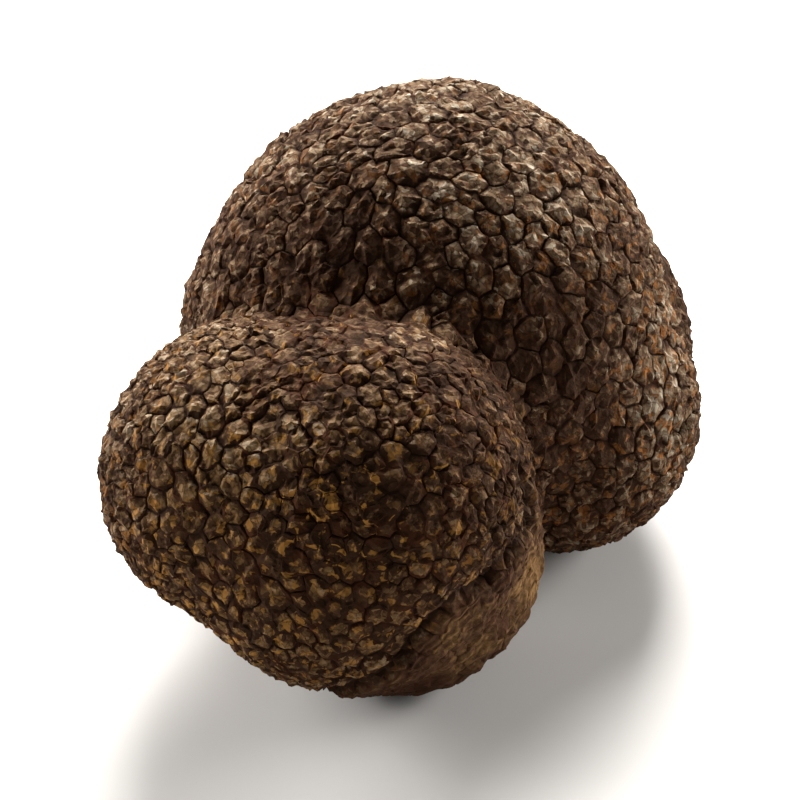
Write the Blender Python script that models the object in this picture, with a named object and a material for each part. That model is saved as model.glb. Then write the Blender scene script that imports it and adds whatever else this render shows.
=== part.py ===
"""A whole summer truffle lying on the ground, in metres with +Z up.

The truffle is one solid: a lobed mass whose skin is a net of grooves, with a low pointed wart
standing in every opening of the net. The origin is on the ground under the middle of it.
"""
import math

import bmesh
import bpy
import numpy as np
from mathutils import Matrix, Vector
from mathutils.kdtree import KDTree

MM = 0.001
SEED = 11

# The mass of the truffle, in millimetres, set out as it is looked at: x to the right, y away
# from the viewer, z up the view. The view looks down on the ground by VIEW_ELEVATION degrees.
VIEW_ELEVATION = 35.0
CORE = (-1.7, 0.0, -2.2)

# Each lobe is an ellipsoid: the mass that it belongs to, its name, its centre, its half sizes,
# how far it leans to the right in degrees, and the distance between the warts on it.
LOBES = (
    ("rear", "crown", (3.6, 11.0, 9.4), (27.1, 24.0, 27.0), 0, 3.3),
    ("rear", "crest", (5.4, 10.0, 24.4), (11.0, 14.0, 12.2), 0, 3.2),
    ("rear", "left shoulder", (-11.5, 12.0, 8.3), (13.8, 17.0, 14.0), 0, 2.9),
    ("rear", "far flank", (14.2, 20.0, 6.2), (20.5, 17.0, 19.8), 0, 3.1),
    ("rear", "right shoulder", (18.3, 14.4, -1.2), (16.6, 17.0, 16.7), 0, 2.7),
    ("rear", "foot", (-9.2, 18.0, -4.4), (12.0, 12.5, 12.0), 0, 2.9),
    ("front", "front left", (-16.3, -8.0, -7.2), (15.4, 17.0, 16.4), 30, 2.35),
    ("front", "front right", (-1.5, -12.0, -8.3), (15.4, 18.0, 17.8), -22, 2.35),
    ("front", "front middle", (-7.8, -10.0, -9.9), (16.0, 18.0, 18.4), 0, 2.35),
    ("front", "front low", (-6.1, -10.0, -13.7), (16.2, 17.0, 17.0), 0, 2.35),
    ("under", "under roll", (-0.2, -3.0, -16.0), (15.5, 12.5, 15.7), 0, 2.5),
)

# How sharply the lobes of one mass run together, and the masses with each other, per millimetre.
LOBE_BLEND = {"rear": 1.2, "front": 0.8, "under": 1.5}
MASS_BLEND = 1.5

# Hollows pressed into the lobes: name, start, end, half width and depth in millimetres.
# A hollow of no length is round, and one of negative depth is a swelling.
HOLLOWS = (
    ("dish of the crown", (-1.3, -12.1, 14.9), (-1.3, -12.1, 14.9), 6.0, 1.8),
    ("fold above the right roll", (16.1, 0.7, -11.6), (27.2, 4.2, -11.4), 1.7, 1.2),
    ("right roll", (19.0, 3.5, -14.6), (23.0, 4.5, -14.0), 2.6, -0.8),
    ("upper fold of the front", (14.6, -10.0, -11.5), (8.7, -21.6, -19.0), 1.5, 1.1),
    ("lower fold of the front", (8.7, -21.6, -19.0), (-2.2, -21.6, -25.9), 1.5, 1.1),
    ("hollow of the back", (-7.0, 32.0, 14.0), (-7.0, 32.0, 14.0), 6.0, 2.2),
    ("valley of the back", (9.0, 31.0, 24.0), (8.0, 37.0, -4.0), 3.5, 1.8),
)

# The skin.
WART_COUNT = 1930
GROOVE_DEPTH = 0.55        # how far the grooves lie below the smooth mass, in millimetres
WART_POINT = 0.46          # height of a wart's point above its rim, by its half width
POINT_SPREAD = 0.25        # how much that height differs from wart to wart, either way
POINT_SHIFT = 0.12         # how far a point sits from its wart's middle, in millimetres
CROWDING = 0.25            # how much closer the warts stand in the creases between lobes
CALMING = 0.5              # how much lower they stand there
FLAT_DEPTH = 0.7           # what the ground presses flat under the lowest lobes, in millimetres

SPHERE_LEVELS = 8          # subdivisions of the ball that carries the trial places for warts
SPREADING_ROUNDS = 4

SKIN_COLOUR = (0.067, 0.037, 0.020, 1.0)
SKIN_ROUGHNESS = 0.85


def clear_scene():
    for thing in list(bpy.data.objects):
        bpy.data.objects.remove(thing, do_unlink=True)


def make_collection(name):
    collection = bpy.data.collections.new(name)
    bpy.context.scene.collection.children.link(collection)
    return collection


def make_skin_material():
    material = bpy.data.materials.new("truffle skin")
    material.use_nodes = True
    shader = material.node_tree.nodes["Principled BSDF"]
    shader.inputs["Base Color"].default_value = SKIN_COLOUR
    shader.inputs["Roughness"].default_value = SKIN_ROUGHNESS
    shader.inputs["Metallic"].default_value = 0.0
    material.diffuse_color = SKIN_COLOUR
    return material


def ball_directions(levels):
    """Directions spread evenly over a ball, with the triangles that join them."""
    ball = bmesh.new()
    bmesh.ops.create_icosphere(ball, subdivisions=levels, radius=1.0)
    mesh = bpy.data.meshes.new("ball")
    ball.to_mesh(mesh)
    ball.free()
    directions = np.empty(len(mesh.vertices) * 3)
    corners = np.empty(len(mesh.polygons) * 3, dtype=np.int32)
    mesh.vertices.foreach_get("co", directions)
    mesh.polygons.foreach_get("vertices", corners)
    bpy.data.meshes.remove(mesh)
    directions = directions.reshape(-1, 3)
    directions /= np.linalg.norm(directions, axis=1, keepdims=True)
    return directions, corners.reshape(-1, 3)


def exit_distance(directions, centre, half_sizes, lean):
    """How far from the core each ray leaves an ellipsoid, and 0 where it misses."""
    turn = np.array(Matrix.Rotation(math.radians(lean), 3, "Y"))
    squeeze = turn.T / np.array(half_sizes)[:, None]
    rays = directions @ squeeze.T
    start = squeeze @ (np.array(CORE) - np.array(centre))
    a = (rays * rays).sum(axis=1)
    b = rays @ start
    c = start @ start - 1.0
    inside = b * b - a * c
    far_side = (np.sqrt(np.maximum(inside, 0.0)) - b) / a
    return np.where(inside > 0.0, np.maximum(far_side, 0.0), 0.0)


def run_together(distances, sharpness):
    """The largest of several distances, with the corners between them rounded."""
    largest = distances.max(axis=0)
    return largest + np.log(np.exp((distances - largest) * sharpness).sum(axis=0)) / sharpness


def pressed_in(points):
    """How far the hollows lower the mass at these points."""
    total = np.zeros(len(points))
    for _, start, end, half_width, depth in HOLLOWS:
        start = np.array(start)
        along = np.array(end) - start
        length = max(along @ along, 1e-9)
        part = np.clip((points - start) @ along / length, 0.0, 1.0)
        nearest = start + part[:, None] * along
        gap = ((points - nearest) ** 2).sum(axis=1)
        total += depth * np.exp(-gap / (2.0 * half_width ** 2))
    return total


def lobed_mass(directions):
    """Points of the smooth mass in metres with +Z up, the distance between the warts there, and
    how far each point is into a crease between two masses, from 0 to 1."""
    lobe_exits = np.array([exit_distance(directions, *lobe[2:5]) for lobe in LOBES])
    masses = []
    for mass, sharpness in LOBE_BLEND.items():
        members = [i for i, lobe in enumerate(LOBES) if lobe[0] == mass]
        masses.append(run_together(lobe_exits[members], sharpness))
    masses = np.array(masses)
    distance = run_together(masses, MASS_BLEND)
    crease = np.clip((distance - masses.max(axis=0)) * MASS_BLEND / math.log(2.0), 0.0, 1.0)
    share = np.exp((lobe_exits - lobe_exits.max(axis=0)) * MASS_BLEND)
    spacing = np.array([lobe[5] for lobe in LOBES]) @ (share / share.sum(axis=0))
    spacing *= 1.0 - CROWDING * crease
    points = np.array(CORE) + directions * distance[:, None]
    points -= directions * pressed_in(points)[:, None]
    tip = np.array(Matrix.Rotation(math.radians(-VIEW_ELEVATION), 3, "X"))
    return np.round(points @ tip.T * MM, 7), np.round(spacing * MM, 7), crease


def area_round_points(points, triangles):
    """The area of skin that each point stands for."""
    a, b, c = (points[triangles[:, i]] for i in range(3))
    area = np.linalg.norm(np.cross(b - a, c - a), axis=1) / 2.0
    share = np.repeat(area / 3.0, 3)
    return np.bincount(triangles.ravel(), share, len(points))


def search_tree(points):
    tree = KDTree(len(points))
    for i, point in enumerate(points):
        tree.insert(point, i)
    tree.balance()
    return tree


def spread_warts(points, area, spacing):
    """Picks the middles of the warts from trial points, close together where they are small."""
    everywhere = search_tree(points)
    draw = np.random.default_rng(SEED)
    chance = area / spacing ** 2
    chosen = draw.choice(len(points), WART_COUNT, replace=False, p=chance / chance.sum())
    pull = area / spacing ** 4
    for _ in range(SPREADING_ROUNDS):
        middles = search_tree(points[chosen])
        owner = np.array([middles.find(point)[1] for point in points])
        weight = np.bincount(owner, pull, WART_COUNT)
        centres = [np.bincount(owner, pull * points[:, i], WART_COUNT) / weight for i in range(3)]
        chosen = np.array([everywhere.find(centre)[1] for centre in np.transpose(centres)])
    return chosen


def triangles_between(directions, points, crease):
    """A closed net of triangles that joins each wart's middle to its neighbours'."""
    net = bmesh.new()
    depth = net.verts.layers.float.new("crease")
    middles = [net.verts.new(direction) for direction in directions]
    bmesh.ops.convex_hull(net, input=net.verts)
    for middle, point, into in zip(middles, points, crease):
        middle.co = point
        middle[depth] = into
    bmesh.ops.beautify_fill(net, faces=net.faces, edges=net.edges, method="ANGLE")
    bmesh.ops.recalc_face_normals(net, faces=net.faces)
    mesh = bpy.data.meshes.new("neighbours")
    net.to_mesh(mesh)
    net.free()
    return mesh


def outlines_of_warts(mesh):
    """Turns the net inside out: each middle becomes a face, and each triangle one of its corners."""
    group = bpy.data.node_groups.new("outlines of warts", "GeometryNodeTree")
    for side in ("INPUT", "OUTPUT"):
        group.interface.new_socket("Geometry", in_out=side, socket_type="NodeSocketGeometry")
    entry = group.nodes.new("NodeGroupInput")
    dual = group.nodes.new("GeometryNodeDualMesh")
    result = group.nodes.new("NodeGroupOutput")
    group.links.new(entry.outputs[0], dual.inputs["Mesh"])
    group.links.new(dual.outputs["Dual Mesh"], result.inputs[0])
    holder = bpy.data.objects.new("neighbours", mesh)
    bpy.context.scene.collection.objects.link(holder)
    holder.modifiers.new("outlines of warts", "NODES").node_group = group
    evaluated = holder.evaluated_get(bpy.context.evaluated_depsgraph_get())
    outlines = bpy.data.meshes.new_from_object(evaluated)
    bpy.data.objects.remove(holder)
    bpy.data.meshes.remove(mesh)
    bpy.data.node_groups.remove(group)
    return outlines


def raise_warts(outlines, ground):
    """Sinks the outlines into grooves and raises a point inside each, flat where the ground is."""
    skin = bmesh.new()
    skin.from_mesh(outlines)
    skin.normal_update()
    depth = skin.faces.layers.float["crease"]
    sunk = []
    for groove in skin.verts:
        crease = sum(face[depth] for face in groove.link_faces) / len(groove.link_faces)
        drop = GROOVE_DEPTH * MM * (1.0 - CALMING * crease)
        sunk.append((groove, groove.co - groove.normal * drop))
    for groove, place in sunk:
        groove.co = Vector((*groove.co.xy, ground)) if groove.co.z < ground else place
    rims = list(skin.faces)
    poked = bmesh.ops.poke(skin, faces=rims, offset=WART_POINT, use_relative_offset=True)
    draw = np.random.default_rng(SEED)
    for point in poked["verts"]:
        rim = [edge.other_vert(point).co for edge in point.link_edges]
        foot = sum(rim, Vector()) / len(rim)
        stretch = 1.0 + POINT_SPREAD * draw.uniform(-1.0, 1.0)
        stretch *= 1.0 - CALMING * point.link_faces[0][depth]
        shift = Vector(draw.uniform(-1.0, 1.0, 3)) * POINT_SHIFT * MM
        point.co = foot + (point.co - foot) * stretch + shift
    for vert in skin.verts:
        vert.co.z = max(vert.co.z, ground)
    skin.to_mesh(outlines)
    skin.free()
    return outlines


def stand_on_origin(mesh, ground):
    """Moves the mesh so that the ground is z = 0 and the origin is under its middle."""
    places = np.empty(len(mesh.vertices) * 3)
    mesh.vertices.foreach_get("co", places)
    places = places.reshape(-1, 3)
    middle = (places.min(axis=0) + places.max(axis=0)) / 2.0
    mesh.transform(Matrix.Translation((-middle[0], -middle[1], -ground)))
    print("moved by (mm):", np.round(-middle[0] / MM, 3), np.round(-middle[1] / MM, 3), round(-ground / MM, 3))


def make_truffle(collection):
    directions, triangles = ball_directions(SPHERE_LEVELS)
    points, spacing, crease = lobed_mass(directions)
    area = np.round(area_round_points(points, triangles), 14)
    chosen = spread_warts(points, area, spacing)
    net = triangles_between(directions[chosen], points[chosen], crease[chosen])
    ground = float(points[:, 2].min()) + FLAT_DEPTH * MM
    mesh = raise_warts(outlines_of_warts(net), ground)
    stand_on_origin(mesh, ground)
    mesh.name = "truffle"
    mesh.shade_smooth()
    truffle = bpy.data.objects.new("truffle", mesh)
    truffle.data.materials.append(make_skin_material())
    collection.objects.link(truffle)
    print("size (mm):", [round(side / MM, 2) for side in truffle.dimensions])
    print("triangles:", len(mesh.polygons), "warts:", WART_COUNT)
    return truffle


clear_scene()
make_truffle(make_collection("summer truffle"))
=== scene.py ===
# %% [markdown]
# # A summer truffle
# A summer truffle is a lobed black lump, here a little bigger than a hen's egg, whose whole skin is
# cut up into warts by a net of dark grooves. The imported model already has the lobes, the net and one
# low pointed wart in each of its openings. This lesson keeps every one of those warts where it is
# and carves it further: steep walls, cracked and tilted tops, ridges, furrows and chips. Then it
# colours the skin. The warts could also be only a pattern in the material of a smooth lump, but
# then the outline would be smooth, and no wart would shade the one beside it.

# %% Load the model
import math

import bmesh
import bpy
import numpy as np
from mathutils import Matrix, Vector, noise


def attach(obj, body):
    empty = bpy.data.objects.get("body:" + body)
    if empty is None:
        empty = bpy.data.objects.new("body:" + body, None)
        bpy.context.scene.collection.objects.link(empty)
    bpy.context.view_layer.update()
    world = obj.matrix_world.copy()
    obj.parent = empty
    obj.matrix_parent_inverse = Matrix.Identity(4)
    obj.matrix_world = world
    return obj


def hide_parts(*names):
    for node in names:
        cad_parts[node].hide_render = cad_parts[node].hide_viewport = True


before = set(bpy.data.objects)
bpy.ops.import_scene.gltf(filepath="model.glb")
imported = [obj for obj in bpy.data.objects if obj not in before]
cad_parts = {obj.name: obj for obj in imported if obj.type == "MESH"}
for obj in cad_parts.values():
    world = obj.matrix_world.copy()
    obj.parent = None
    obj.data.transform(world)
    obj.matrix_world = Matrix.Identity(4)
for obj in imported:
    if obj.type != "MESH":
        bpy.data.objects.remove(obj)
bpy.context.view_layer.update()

MM = 0.001
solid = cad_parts["truffle"]

# %% [markdown]
# ## The camera
# The photograph looks down on the truffle by about 35 degrees with a long lens, so the near lobe
# isn't swollen by the perspective. A camera can be placed by eye, but here it is set by the point
# in the truffle that it looks at, a distance and that angle: those are the numbers that a
# photographer would know, and further down they also turn places on the truffle into places in the
# picture.

# %% Camera
VIEW_ELEVATION = math.radians(35.0)
VIEW_DISTANCE = 244.4 * MM
VIEW_CENTRE = Vector((-1.467, -2.899, 25.41)) * MM
LENS_MM = 100.0
SENSOR_MM = 36.0
NEAREST_SEEN = 10.0 * MM

towards_camera = Vector((0.0, -math.cos(VIEW_ELEVATION), math.sin(VIEW_ELEVATION)))
lens = bpy.data.cameras.new("camera")
lens.lens = LENS_MM
lens.sensor_width = SENSOR_MM
lens.clip_start = NEAREST_SEEN
camera = bpy.data.objects.new("camera", lens)
camera.location = VIEW_CENTRE + towards_camera * VIEW_DISTANCE
camera.rotation_euler = (math.pi / 2.0 - VIEW_ELEVATION, 0.0, 0.0)
bpy.context.scene.collection.objects.link(camera)
bpy.context.scene.camera = camera
print("camera at", [round(value / MM, 1) for value in camera.location], "mm")

# %% [markdown]
# ## The floor and the light
# In the photograph the truffle is lit softly from above and behind, in front of white: the upper
# side of each lobe and the whole outline are pale, and what faces the camera is dark. Three large
# soft lamps do that, one high up behind the truffle and one low on each side, a little behind it
# too. A weak white sky fills the shadows. A picture of a studio could light it as well, but plain
# lamps can be moved one by one until each edge is as bright as in the photograph.

# %% Floor
FLOOR_SIZE = 3.0
FLOOR_COLOUR = (0.50, 0.49, 0.48, 1.0)
FLOOR_ROUGHNESS = 0.9

bpy.ops.mesh.primitive_plane_add(size=FLOOR_SIZE)
floor = bpy.context.object
floor.name = "floor"
floor_paint = bpy.data.materials.new("floor paint")
floor_paint.use_nodes = True
floor_shader = floor_paint.node_tree.nodes["Principled BSDF"]
floor_shader.inputs["Base Color"].default_value = FLOOR_COLOUR
floor_shader.inputs["Roughness"].default_value = FLOOR_ROUGHNESS
floor.data.materials.append(floor_paint)
print("floor:", FLOOR_SIZE, "m wide")

# %% Lamps and sky
LAMP_COLOUR = (1.0, 0.98, 0.95)
SKY_COLOUR = (1.0, 1.0, 1.0, 1.0)
SKY_STRENGTH = 0.145
LAMPS = (                  # name, where it stands (m), how wide it is (m), power (W)
    ("high back", (0.04, 0.62, 0.54), 0.45, 37.0),
    ("left back", (-0.62, 0.26, 0.22), 0.40, 14.0),
    ("right back", (0.66, 0.22, 0.14), 0.40, 13.0),
)


def hang_lamp(name, place, width, power):
    """A square soft lamp that faces the truffle."""
    light = bpy.data.lights.new(name, "AREA")
    light.size = width
    light.energy = power
    light.color = LAMP_COLOUR
    lamp = bpy.data.objects.new(name, light)
    lamp.location = place
    aim = VIEW_CENTRE - Vector(place)
    lamp.rotation_euler = aim.to_track_quat("-Z", "Y").to_euler()
    bpy.context.scene.collection.objects.link(lamp)


for lamp_settings in LAMPS:
    hang_lamp(*lamp_settings)
sky = bpy.data.worlds.new("studio")
sky.use_nodes = True
sky.node_tree.nodes["Background"].inputs["Color"].default_value = SKY_COLOUR
sky.node_tree.nodes["Background"].inputs["Strength"].default_value = SKY_STRENGTH
bpy.context.scene.world = sky
bpy.context.scene.view_settings.view_transform = "Standard"     # colours come out as given
print("lamps:", len(LAMPS), "with", sum(power for *_, power in LAMPS), "W in all")

# %% [markdown]
# ## Reading the net of grooves
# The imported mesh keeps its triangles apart, so they are first joined at their corners. Then each
# corner is told apart: it is either the point of a wart or a place where three grooves meet. How
# far it stands out could tell that too, but hardly in a crease between two lobes, and its edges
# tell it for sure. Where three grooves meet, six edges always meet too, so a corner with any other
# number of edges is the point of a wart. From those the answer spreads from triangle to triangle,
# because every triangle has just one point. The flat spots under the truffle have no warts and
# stay as they are.

# %% Join the triangles
JOIN_DISTANCE = 0.005 * MM
GROUND_SLACK = 0.01 * MM

net = bmesh.new()
net.from_mesh(solid.data)
bmesh.ops.remove_doubles(net, verts=net.verts, dist=JOIN_DISTANCE)
net.verts.index_update()
corner_places = np.array([corner.co for corner in net.verts])
edges_met = np.array([len(corner.link_edges) for corner in net.verts])
all_facets = np.array([[corner.index for corner in face.verts] for face in net.faces])
net.free()
on_ground = corner_places[:, 2] < GROUND_SLACK
flat = on_ground[all_facets].all(axis=1)
print("joined:", len(corner_places), "corners,", int(flat.sum()), "flat triangles")

# %% Tell the points of the warts from the corners of the grooves
UNKNOWN, WART_POINT, GROOVE_CORNER = 0, 1, 2
GROOVE_EDGES = 6


def tell_apart(facets):
    """Which corners are the points of warts, spread from the ones whose edges give them away."""
    kind = np.where((edges_met != GROOVE_EDGES) & ~on_ground, WART_POINT, UNKNOWN)
    kind[np.setdiff1d(np.arange(len(kind)), facets)] = UNKNOWN
    known_before = -1
    while (kind > UNKNOWN).sum() > known_before:
        known_before = (kind > UNKNOWN).sum()
        of_facet = kind[facets]
        with_point = (of_facet == WART_POINT).any(axis=1)[:, None]
        kind[facets[with_point & (of_facet == UNKNOWN)]] = GROOVE_CORNER
        of_facet = kind[facets]
        with_groove = ((of_facet == GROOVE_CORNER).sum(axis=1) == 2)[:, None]
        kind[facets[with_groove & (of_facet == UNKNOWN)]] = WART_POINT
    return kind


is_point = tell_apart(all_facets[~flat])[all_facets] == WART_POINT
carved = ~flat & (is_point.sum(axis=1) == 1)
point_first = np.where(carved, np.argmax(is_point, axis=1), 0)
facets = np.take_along_axis(all_facets, (point_first[:, None] + np.arange(3)) % 3, axis=1)
wart_corners, wart_of_facet = np.unique(facets[carved, 0], return_inverse=True)
wart_count = len(wart_corners)
print("warts:", wart_count, "and", int((~flat & ~carved).sum()), "facets left plain")

# %% [markdown]
# ## What is known of each wart
# A wart gets a foot in the middle of its rim, an up direction, a half width and a height. Its own
# chances come from noise at its place, and not from a list of random numbers, so they don't
# depend on the order in which the triangles are stored. Each run has to give the same truffle, so
# only noises that repeat are used. Blender's noise_vector isn't one of them: it gives other numbers
# each time that Blender starts. Smooth noise read at three places set apart does its work.

# %% Chance and noise
CHANCE_CELL = 0.4 * MM     # places in one such cell share their chances
NEXT_DRAW = 97.0           # how many cells further on each new draw is read
NOISE_APART = np.array((13.7, 5.1, 9.3))       # sets each draw's noise apart
NOISE_REACH = 0.5          # about how far the noise goes from 0


def chances(places, draw):
    """Three numbers from 0 to 1 for each place, new ones for each draw."""
    return np.array([noise.cell_vector(place / CHANCE_CELL + draw * NEXT_DRAW) for place in places])


def centred(chance):
    """From -1 to 1 in place of from 0 to 1."""
    return 2.0 * (chance - 0.5)


def noise_at(places, size, draw):
    return np.array([noise.noise(place) for place in places / size + NOISE_APART * draw])


print("chances at the first wart's point:", np.round(chances(corner_places[wart_corners[:1]], 1), 2))

# %% Sums and directions
NO_LENGTH = 1e-12


def summed(values, group, count):
    """The rows of values added up for each group."""
    return np.stack([np.bincount(group, column, count) for column in values.T], axis=1)


def unit(vectors):
    return vectors / np.maximum(np.linalg.norm(vectors, axis=-1, keepdims=True), NO_LENGTH)


def facet_normals(places, triangles):
    a, b, c = (places[triangles[:, i]] for i in range(3))
    return np.cross(b - a, c - a)


def corner_ways(directions, triangles, count):
    """The direction of each corner, from those of the triangles that meet there."""
    return unit(sum(summed(directions, triangles[:, i], count) for i in range(3)))


areas = np.linalg.norm(facet_normals(corner_places, facets), axis=1) / 2.0
print("the packed skin's area:", round(float(areas.sum()) / MM ** 2), "mm2")

# %% Measure the warts
tips = corner_places[wart_corners]
rim_middles = corner_places[facets[carved, 1:]].mean(axis=1)
sides = np.bincount(wart_of_facet, minlength=wart_count)
feet = summed(rim_middles, wart_of_facet, wart_count) / sides[:, None]
ups = unit(summed(facet_normals(corner_places, facets[carved]), wart_of_facet, wart_count))
reach = np.linalg.norm(corner_places[facets[carved, 1]] - feet[wart_of_facet], axis=1)
half_widths = np.bincount(wart_of_facet, reach, wart_count) / sides
heights = ((tips - feet) * ups).sum(axis=1)
print("half width", np.round(np.percentile(half_widths, (5, 50, 95)) / MM, 2), "mm, height",
      np.round(np.percentile(heights, (5, 50, 95)) / MM, 2), "mm")

# %% [markdown]
# ## Places as they are seen
# Some features, such as a long crack across the crown, are known only from where they show in the
# photograph. Their places are given in millimetres across and up the picture, so one helper turns
# the truffle's own coordinates into those: x to the right, y away from the viewer, z up.

# %% As seen
FRONT_LOBE = (-8.0, -12.0, -9.0)       # the middle of the front lobe, in mm as seen
FRONT_LOBE_REACH = (17.0, 24.0)        # mm: wholly front up to the first, not at all past the second

tip_back = np.array(Matrix.Rotation(VIEW_ELEVATION, 3, "X"))


def as_seen(places):
    return (places - np.array(VIEW_CENTRE)) @ tip_back.T / MM


def soft_step(values, low, high):
    """0 below low, 1 above high and a smooth rise between them."""
    part = np.clip((values - low) / (high - low), 0.0, 1.0)
    return part * part * (3.0 - 2.0 * part)


wart_seen = as_seen(feet)
on_front = 1.0 - soft_step(np.linalg.norm(wart_seen - FRONT_LOBE, axis=1), *FRONT_LOBE_REACH)
print("warts on the front lobe:", int((on_front > 0.5).sum()))

# %% [markdown]
# ## The fold and the roll
# Low on the right of the front lobe the warty skin ends at a deep fold. Past it is a smoother roll
# with wrinkles that run along the fold. The fold could be a cutter, but a line of a few points is
# enough: every place gets its distance from it, positive on the roll and negative on the warty
# side, and both the carving and the colours use that distance.

# %% Distance from the fold
FOLD_LINE = (              # (across, up) in mm as seen, from the middle of the picture
    (12.2, -6.6), (13.1, -11.0), (13.0, -13.4), (11.2, -15.0), (7.7, -18.7), (5.5, -19.5),
    (2.0, -23.3), (-1.1, -27.1), (-3.5, -28.8), (-7.7, -30.4),
)


def gap_to_line(places, line):
    """How far places are from a line in mm as seen, and on which side of it: the right is 1."""
    nearest = np.full(len(places), np.inf)
    side = np.ones(len(places))
    for start, end in zip(line, line[1:]):
        start, along = np.array(start), np.subtract(end, start)
        part = np.clip((places - start) @ along / (along @ along), 0.0, 1.0)
        offset = places - start - part[:, None] * along
        gap = np.linalg.norm(offset, axis=1)
        closer = gap < nearest
        turn = along[0] * offset[:, 1] - along[1] * offset[:, 0]
        side[closer] = np.where(turn[closer] > 0.0, 1.0, -1.0)
        nearest = np.minimum(nearest, gap)
    return nearest, side


def across_fold(seen):
    gap, side = gap_to_line(seen[:, [0, 2]], FOLD_LINE)
    return gap * side


print("warts within 2 mm of the fold:", int((np.abs(across_fold(wart_seen)) < 2.0).sum()))

# %% Where the roll is
ROLL_START = (-0.2, 0.9)               # mm past the fold: not yet roll, wholly roll
ROLL_END = (11.0, 16.0)                # mm past the fold: still roll, no more
ROLL_LIMITS = (                        # along which axis as seen, and the same two in mm
    (0, (14.6, 16.2)),
    (1, (0.0, 7.0)),
    (2, (-11.0, -8.0)),
)


def on_roll(seen):
    """1 on the smoother roll below the fold, 0 elsewhere."""
    gap = across_fold(seen)
    share = soft_step(gap, *ROLL_START) * (1.0 - soft_step(gap, *ROLL_END))
    for axis, limits in ROLL_LIMITS:
        share *= 1.0 - soft_step(seen[:, axis], *limits)
    return share


print("warts on the roll:", int((on_roll(wart_seen) > 0.5).sum()))

# %% [markdown]
# ## Cutting the facets up
# A facet is one flank of a wart, from its point down to one groove. It is cut into four rows,
# which makes sixteen small triangles of it, enough for a steep wall at the groove and a carved top.
# A Subdivision Surface modifier would cut it as well, but would round every groove off and not say
# which new corner lies where on its wart. Here each new corner is known by its shares of the
# facet's three corners. Two facets that meet give the same shares to the corners that they have in
# common, so those are found by their shares and kept once, and the skin stays closed.

# %% How one facet is cut
ROWS = 4


def shares_of_rows():
    """Whole-number shares of (point, first groove corner, second groove corner)."""
    return np.array([(up, ROWS - up - along, along)
                     for up in range(ROWS + 1) for along in range(ROWS + 1 - up)])


def small_triangles():
    """Triangles between the corners that shares_of_rows lists, turning the way the facet does."""
    start = np.cumsum([0] + [ROWS + 1 - up for up in range(ROWS + 1)])
    made = []
    for up in range(ROWS):
        for along in range(ROWS - up):
            low, high = start[up] + along, start[up + 1] + along
            made.append((high, low, low + 1))
            if along < ROWS - up - 1:
                made.append((high, low + 1, high + 1))
    return np.array(made)


shares = shares_of_rows()
cut_triangles = small_triangles()
print("each facet:", len(shares), "corners,", len(cut_triangles), "triangles")

# %% Cut all the facets and join them
facet_order = np.argsort(~carved, kind="stable")       # the carved ones come first
sharers = np.where(shares[None] > 0, facets[:, None, :], -1)
order = np.argsort(sharers, axis=2)
sorted_sharers = np.take_along_axis(sharers, order, axis=2)
sorted_shares = np.take_along_axis(np.broadcast_to(shares, sharers.shape), order, axis=2)
key = np.concatenate([sorted_sharers, sorted_shares], axis=2)[facet_order].reshape(-1, 6)
_, first, number = np.unique(key, axis=0, return_index=True, return_inverse=True)
facet_of = facet_order[first // len(shares)]
share_of = shares[first % len(shares)]
skin_triangles = number.reshape(len(facets), len(shares))[:, cut_triangles].reshape(-1, 3)
triangle_facet = np.repeat(facet_order, len(cut_triangles))
print("skin:", len(first), "corners,", len(skin_triangles), "triangles")

# %% [markdown]
# ## Main and lesser grooves
# The net in the photograph has an order in it: wide dark grooves enclose plates 6 or 7 mm across,
# and each plate is cut by lesser grooves, some hardly deeper than cracks. Each groove could get a
# depth by chance, but then that order would be lost. So every wart is given to a plate, by which
# cell of a coarse cell pattern it stands in, and a groove between two warts of the same plate is
# partly filled, some so far that the two warts run together. A few long cracks that stand out in
# the photograph are cut deeper along the lines that they follow.

# %% Which grooves lie inside a plate
PLATE_SIZE = 6.2 * MM
PLATE_WOBBLE = 0.22        # how far the plates' edges wander, in plate sizes
WOBBLES_A_PLATE = 1.7
SAME_MIDDLE = 1e-3


def plate_of(places):
    """The middle of the plate that each place belongs to, in plate sizes."""
    sway = [noise_at(places, PLATE_SIZE / WOBBLES_A_PLATE, draw) for draw in (1, 2, 3)]
    moved = places / PLATE_SIZE + PLATE_WOBBLE * np.stack(sway, axis=1)
    return np.array([noise.voronoi(place)[1][0] for place in moved])


rims = np.sort(facets[carved, 1:], axis=1)
rim_ends, rim_of_facet = np.unique(rims, axis=0, return_inverse=True)
rim_of_facet = rim_of_facet.ravel()
plate = plate_of(feet)[wart_of_facet]
low = np.full((len(rim_ends), 3), np.inf)
high = np.full((len(rim_ends), 3), -np.inf)
np.minimum.at(low, rim_of_facet, plate)
np.maximum.at(high, rim_of_facet, plate)
same_plate = (high - low).max(axis=1) < SAME_MIDDLE
print("grooves:", len(rim_ends), "of which lesser", int(same_plate.sum()))

# %% How far each groove is filled
MAIN_GROOVE = -0.20 * MM                # cut deeper by this, more or less by half of it
LESSER_GROOVE = (0.05 * MM, 0.40 * MM)  # filled by something between these
ROLL_GROOVES = 0.5                      # how much of either is left out on the roll
LONG_CRACK_DEPTH = 0.22 * MM
LONG_CRACK_WIDTH = 1.0                  # mm as seen
LONG_CRACK_BACK = 6.0                   # mm as seen: further away than this there are none
LONG_CRACKS = (            # (across, up) in mm as seen, from the middle of the picture
    ((-10.8, 19.9), (-9.9, 24.4), (-6.4, 25.3), (2.0, 26.5), (5.8, 24.1), (7.6, 22.9)),
    ((2.0, 26.5), (-2.2, 20.4), (-5.5, 17.6), (-6.6, 13.8)),
    ((7.6, 22.9), (14.0, 18.5), (22.0, 12.0), (25.5, 5.5)),
    ((-23.8, -2.8), (-17.0, 5.2), (-6.0, 3.5), (3.0, -1.5)),
)

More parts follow.
